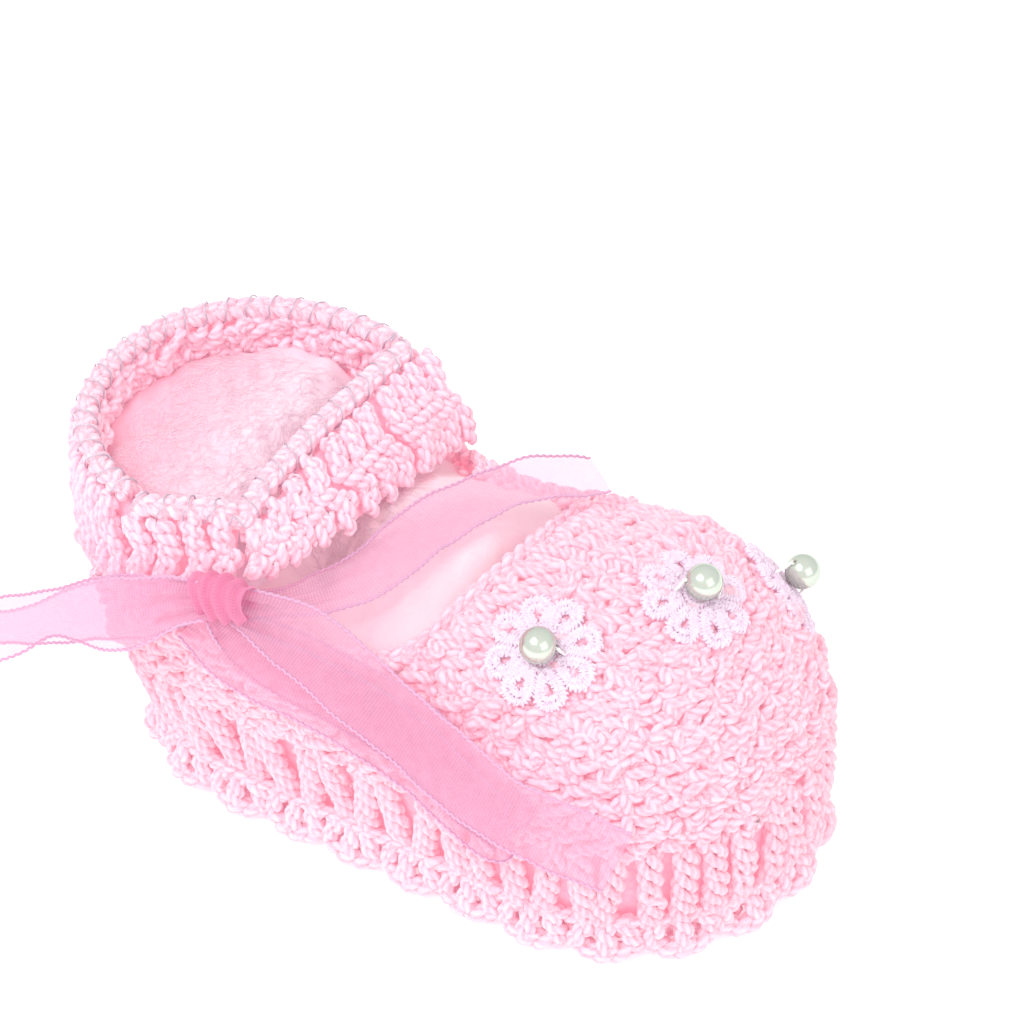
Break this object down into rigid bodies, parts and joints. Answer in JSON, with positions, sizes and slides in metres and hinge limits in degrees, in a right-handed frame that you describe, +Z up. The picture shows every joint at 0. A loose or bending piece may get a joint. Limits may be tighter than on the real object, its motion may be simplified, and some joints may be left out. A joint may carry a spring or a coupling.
{
  "type": "baby bootie",
  "caption": "Crocheted baby bootie with scalloped sole edging, split ankle collar closed by an organza bow, and lace flowers with pearls on the toe.",
  "frame": {"origin": "on the underside of the sole, halfway between the outermost heel and toe scallops on the foot's centre line", "axes": "+X towards the toe, -Y towards the outer side of the right foot, +Z up"},
  "size_m": [0.128, 0.0704, 0.0563],
  "materials": {
    "pink_yarn": "matt spun yarn",
    "pink_yarn_collar": "matt spun yarn",
    "pink_yarn_edging": "matt spun yarn",
    "white_wadding": "soft matt fibre",
    "iridescent_lace": "silky thread with a faint sheen",
    "pearl": "pearlescent gloss",
    "white_thread": "sewing thread",
    "pink_organza": "sheer satin-edged ribbon"
  },
  "bodies": {
    "bootie": {"sole": "pink_yarn", "scallop_edging": "pink_yarn_edging", "side_wall": "pink_yarn", "toe_cap": "pink_yarn", "heel_quarter": "pink_yarn", "opening_edging": "pink_yarn_edging", "collar_back": "pink_yarn_collar", "collar_back_rim": "pink_yarn_edging", "collar_tab": "pink_yarn_collar", "collar_tab_rim": "pink_yarn_edging", "wadding": "white_wadding", "lace_flower_1": "iridescent_lace", "lace_flower_2": "iridescent_lace", "lace_flower_3": "iridescent_lace", "pearl_thread_1": "white_thread", "pearl_thread_2": "white_thread", "pearl_thread_3": "white_thread", "ribbon_knot": "pink_organza"},
    "collar_strap": {"collar_strap": "pink_yarn_collar", "collar_strap_rim": "pink_yarn_edging"},
    "pearl_1": {"pearl_1": "pearl"},
    "pearl_2": {"pearl_2": "pearl"},
    "pearl_3": {"pearl_3": "pearl"},
    "ribbon_loop_left": {"ribbon_loop_left": "pink_organza"},
    "ribbon_loop_right": {"ribbon_loop_right": "pink_organza"},
    "ribbon_tail_side": {"ribbon_tail_side": "pink_organza"},
    "ribbon_tail_instep": {"ribbon_tail_instep": "pink_organza"}
  },
  "joints": [
    {"name": "strap_fold", "type": "hinge", "parent": "bootie", "child": "collar_strap", "pos_m": [-0.0112, 0.0206, 0.0406], "axis": [-0.5306, 0.0138, 0.8475], "range_deg": [0, 95]},
    {"name": "loop_left_lift", "type": "hinge", "parent": "bootie", "child": "ribbon_loop_left", "pos_m": [-0.0246, -0.0276, 0.0466], "axis": [0, 1, 0], "range_deg": [-15, 45]},
    {"name": "loop_right_lift", "type": "hinge", "parent": "bootie", "child": "ribbon_loop_right", "pos_m": [-0.0246, -0.0276, 0.0466], "axis": [0, -1, 0], "range_deg": [0, 45]},
    {"name": "tail_side_lift", "type": "hinge", "parent": "ribbon_loop_right", "child": "ribbon_tail_side", "pos_m": [-0.0246, -0.0276, 0.0466], "axis": [0, -1, 0], "range_deg": [0, 40]},
    {"name": "tail_instep_lift", "type": "hinge", "parent": "bootie", "child": "ribbon_tail_instep", "pos_m": [-0.0235, -0.0275, 0.0445], "axis": [0.6977, -0.7164, 0], "range_deg": [0, 45]},
    {"name": "pearl_1_spin", "type": "hinge", "parent": "bootie", "child": "pearl_1", "pos_m": [0.01594, -0.01728, 0.04452], "axis": [0.9888, 0.1191, 0.0901], "continuous": true},
    {"name": "pearl_2_spin", "type": "hinge", "parent": "bootie", "child": "pearl_2", "pos_m": [0.03241, -0.00057, 0.04753], "axis": [0.8491, 0.4461, -0.2828], "continuous": true},
    {"name": "pearl_3_spin", "type": "hinge", "parent": "bootie", "child": "pearl_3", "pos_m": [0.04055, 0.01788, 0.03655], "axis": [0.4945, 0.3408, -0.7996], "continuous": true}
  ]
}
